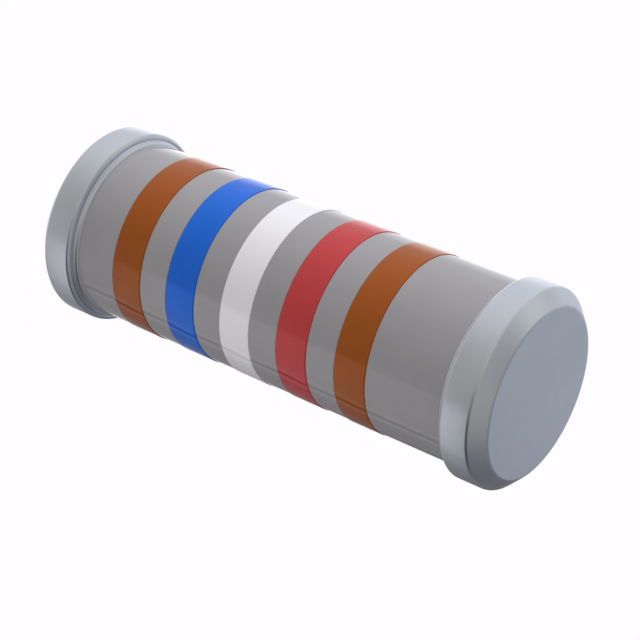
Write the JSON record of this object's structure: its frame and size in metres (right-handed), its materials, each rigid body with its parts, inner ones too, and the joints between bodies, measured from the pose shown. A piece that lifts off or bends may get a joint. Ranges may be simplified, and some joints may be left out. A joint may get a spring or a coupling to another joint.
{
  "type": "leadless cylindrical resistor",
  "caption": "Leadless cylindrical film resistor: a lacquered ceramic rod with coloured code rings and a bevelled, stepped metal cap pressed on each end.",
  "frame": {"origin": "centre of the lower end face, on which the part stands", "axes": "+Z along the rod, from the cap nearest the first digit band to the other cap"},
  "size_m": [0.0022, 0.0022, 0.0059],
  "materials": {
    "alumina": "fired alumina, matt",
    "film_metal": "sputtered nickel-chromium film, dull",
    "tinned_steel": "matt tin plating over steel",
    "grey_lacquer": "semi-gloss grey lacquer",
    "brown_ink": "semi-gloss brown ink",
    "blue_ink": "semi-gloss blue ink",
    "white_ink": "semi-gloss white ink",
    "red_ink": "semi-gloss red ink"
  },
  "bodies": {
    "root": {"ceramic_rod": "alumina", "resistive_film": "film_metal", "lower_end_cap": "tinned_steel", "upper_end_cap": "tinned_steel", "lacquer_coat": "grey_lacquer", "first_digit_band": "brown_ink", "second_digit_band": "blue_ink", "third_digit_band": "white_ink", "multiplier_band": "red_ink", "tolerance_band": "brown_ink"}
  },
  "joints": []
}
